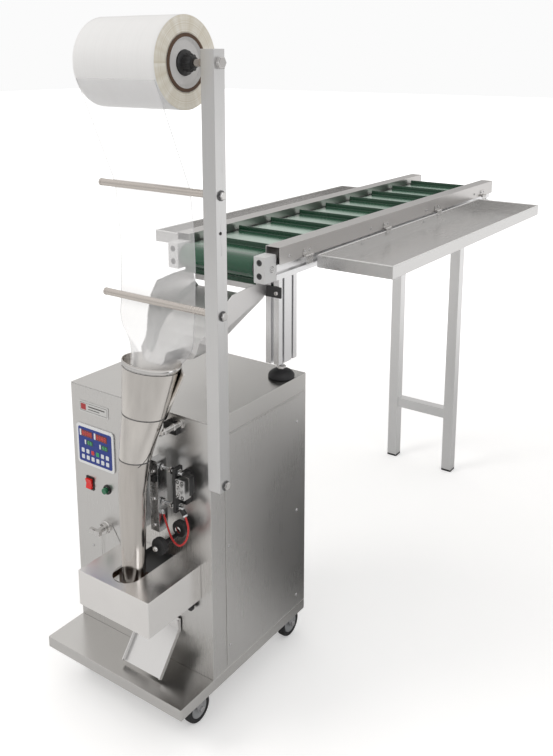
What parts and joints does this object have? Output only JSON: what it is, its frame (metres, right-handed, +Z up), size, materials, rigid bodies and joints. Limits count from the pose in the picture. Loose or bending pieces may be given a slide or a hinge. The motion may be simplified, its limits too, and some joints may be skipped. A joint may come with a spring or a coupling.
{
  "type": "vertical form fill sealer",
  "caption": "Upright bag making and filling machine: film roll on a post, forming trunk, sealing jaws on a wheeled cabinet, and a cleated belt infeed conveyor with side trays.",
  "frame": {"origin": "middle of the machine's whole footprint, at floor level", "axes": "+Z up, +X to the machine's right side (the post side), +Y from the cabinet's front towards the far end of the conveyor; -Y is the operator's front"},
  "size_m": [0.772, 1.814, 1.669],
  "materials": {
    "cabinet_steel": "satin brushed stainless sheet",
    "polished_steel": "polished stainless sheet",
    "plain_steel": "zinc plated steel",
    "satin_rod": "ground bar",
    "aluminium_profile": "clear anodised",
    "cast_jaw": "milled",
    "white_block": "machined nylon",
    "black_rubber": "moulded",
    "black_plastic": "moulded",
    "belt_green": "smooth coated belt",
    "film": "clear packing film",
    "core_card": "wound card tube",
    "hub_white": "moulded",
    "keypad": "membrane",
    "red_plastic": "moulded",
    "green_plastic": "moulded",
    "painted_grey": "painted",
    "control_grey": "moulded"
  },
  "bodies": {
    "machine": {"base_plate": "cabinet_steel", "cabinet_shell": "cabinet_steel", "top_cover": "cabinet_steel", "right_door": "cabinet_steel", "rear_cover": "cabinet_steel", "gear_motor": "painted_grey", "control_box": "control_grey", "control_panel": "keypad", "latch_bracket": "polished_steel", "trunk_top": "polished_steel", "trunk_middle": "polished_steel", "trunk_tube": "polished_steel", "seal_arm": "black_plastic", "air_cylinder": "polished_steel", "heater_lead": "red_plastic", "seal_box": "polished_steel", "chute": "cabinet_steel", "post": "cabinet_steel", "upper_guide_rod": "satin_rod", "lower_guide_rod": "satin_rod", "roll_shaft": "satin_rod", "film_web": "film", "hopper": "cabinet_steel", "belt": "belt_green", "right_rail": "aluminium_profile", "right_end_block": "white_block", "right_guard": "cabinet_steel", "left_rail": "aluminium_profile", "left_end_block": "white_block", "left_guard": "cabinet_steel", "belt_bed": "plain_steel", "support_leg": "aluminium_profile", "levelling_foot": "black_rubber", "rear_stand": "cabinet_steel"},
    "film_reel": {"film_roll": "film", "roll_core": "core_card", "roll_hub": "hub_white", "hand_nut": "black_plastic"},
    "conveyor_drive": {"drive_roller": "plain_steel"},
    "conveyor_idler": {"idler_roller": "plain_steel"},
    "right_leaf": {"right_tray": "cabinet_steel"},
    "left_leaf": {"left_tray": "cabinet_steel"},
    "right_seal_jaw": {"vertical_jaw_right": "cast_jaw"},
    "left_seal_jaw": {"vertical_jaw_left": "cast_jaw"},
    "front_cross_seal": {"cross_jaw_front": "cast_jaw"},
    "rear_cross_seal": {"cross_jaw_rear": "cast_jaw"},
    "right_puller": {"pull_wheel_right": "black_rubber"},
    "left_puller": {"pull_wheel_left": "black_rubber"},
    "tension_adjuster": {"tension_knob": "black_plastic"},
    "power_rocker": {"rocker_switch": "red_plastic"},
    "start_button": {"push_button": "green_plastic"},
    "latch_lever": {"latch_handle": "polished_steel"},
    "front_left_swivel": {"front_left_caster_fork": "plain_steel"},
    "front_left_roller": {"front_left_caster_wheel": "black_rubber"},
    "front_right_swivel": {"front_right_caster_fork": "plain_steel"},
    "front_right_roller": {"front_right_caster_wheel": "black_rubber"},
    "rear_left_swivel": {"rear_left_caster_fork": "plain_steel"},
    "rear_left_roller": {"rear_left_caster_wheel": "black_rubber"},
    "rear_right_swivel": {"rear_right_caster_fork": "plain_steel"},
    "rear_right_roller": {"rear_right_caster_wheel": "black_rubber"}
  },
  "joints": [
    {"name": "film_reel_spin", "type": "hinge", "parent": "machine", "child": "film_reel", "pos_m": [-0.006, -0.7195, 1.571], "axis": [1, 0, 0], "continuous": true},
    {"name": "conveyor_drive_spin", "type": "hinge", "parent": "machine", "child": "conveyor_drive", "pos_m": [0, -0.472, 1.084], "axis": [1, 0, 0], "continuous": true},
    {"name": "conveyor_idler_spin", "type": "hinge", "parent": "machine", "child": "conveyor_idler", "pos_m": [0, 0.869, 1.084], "axis": [1, 0, 0], "continuous": true},
    {"name": "right_tray_fold", "type": "hinge", "parent": "machine", "child": "right_leaf", "pos_m": [0.17, 0.239, 1.095], "axis": [0, -1, 0], "range_deg": [0, 90]},
    {"name": "left_tray_fold", "type": "hinge", "parent": "machine", "child": "left_leaf", "pos_m": [-0.17, 0.239, 1.095], "axis": [0, 1, 0], "range_deg": [0, 90]},
    {"name": "right_jaw_close", "type": "slide", "parent": "machine", "child": "right_seal_jaw", "axis": [-1, 0, 0], "range_m": [0, 0.006]},
    {"name": "left_jaw_close", "type": "slide", "parent": "machine", "child": "left_seal_jaw", "axis": [1, 0, 0], "range_m": [0, 0.006]},
    {"name": "front_jaw_close", "type": "slide", "parent": "machine", "child": "front_cross_seal", "axis": [0, 1, 0], "range_m": [0, 0.012]},
    {"name": "rear_jaw_close", "type": "slide", "parent": "machine", "child": "rear_cross_seal", "axis": [0, -1, 0], "range_m": [0, 0.012]},
    {"name": "right_pull_spin", "type": "hinge", "parent": "machine", "child": "right_puller", "pos_m": [0.067, -0.796, 0.483], "axis": [0, 1, 0], "continuous": true},
    {"name": "left_pull_spin", "type": "hinge", "parent": "machine", "child": "left_puller", "pos_m": [-0.033, -0.796, 0.483], "axis": [0, 1, 0], "continuous": true},
    {"name": "tension_knob_turn", "type": "hinge", "parent": "machine", "child": "tension_adjuster", "pos_m": [0.088, -0.743, 0.512], "axis": [0, 1, 0], "continuous": true},
    {"name": "rocker_press", "type": "hinge", "parent": "machine", "child": "power_rocker", "pos_m": [-0.232, -0.735, 0.521], "axis": [1, 0, 0], "range_deg": [0, 8]},
    {"name": "start_press", "type": "slide", "parent": "machine", "child": "start_button", "axis": [0, 1, 0], "range_m": [0, 0.002], "stiffness_N_per_m": 400},
    {"name": "latch_turn", "type": "hinge", "parent": "machine", "child": "latch_lever", "pos_m": [-0.182, -0.749, 0.414], "axis": [0, 1, 0], "range_deg": [0, 90]},
    {"name": "front_left_caster_swivel", "type": "hinge", "parent": "machine", "child": "front_left_swivel", "pos_m": [-0.236, -0.761, 0.11], "axis": [0, 0, 1], "continuous": true},
    {"name": "front_left_wheel_spin", "type": "hinge", "parent": "front_left_swivel", "child": "front_left_roller", "pos_m": [-0.236, -0.737, 0.038], "axis": [1, 0, 0], "continuous": true},
    {"name": "front_right_caster_swivel", "type": "hinge", "parent": "machine", "child": "front_right_swivel", "pos_m": [0.114, -0.761, 0.11], "axis": [0, 0, 1], "continuous": true},
    {"name": "front_right_wheel_spin", "type": "hinge", "parent": "front_right_swivel", "child": "front_right_roller", "pos_m": [0.114, -0.737, 0.038], "axis": [1, 0, 0], "continuous": true},
    {"name": "rear_left_caster_swivel", "type": "hinge", "parent": "machine", "child": "rear_left_swivel", "pos_m": [-0.236, -0.369, 0.11], "axis": [0, 0, 1], "continuous": true},
    {"name": "rear_left_wheel_spin", "type": "hinge", "parent": "rear_left_swivel", "child": "rear_left_roller", "pos_m": [-0.236, -0.345, 0.038], "axis": [1, 0, 0], "continuous": true},
    {"name": "rear_right_caster_swivel", "type": "hinge", "parent": "machine", "child": "rear_right_swivel", "pos_m": [0.114, -0.369, 0.11], "axis": [0, 0, 1], "continuous": true},
    {"name": "rear_right_wheel_spin", "type": "hinge", "parent": "rear_right_swivel", "child": "rear_right_roller", "pos_m": [0.114, -0.345, 0.038], "axis": [1, 0, 0], "continuous": true}
  ],
  "couplings": [
    {"joint": "left_jaw_close", "follows": "right_jaw_close", "ratio": 1},
    {"joint": "rear_jaw_close", "follows": "front_jaw_close", "ratio": 1},
    {"joint": "conveyor_idler_spin", "follows": "conveyor_drive_spin", "ratio": 1},
    {"joint": "left_pull_spin", "follows": "right_pull_spin", "ratio": -1}
  ]
}
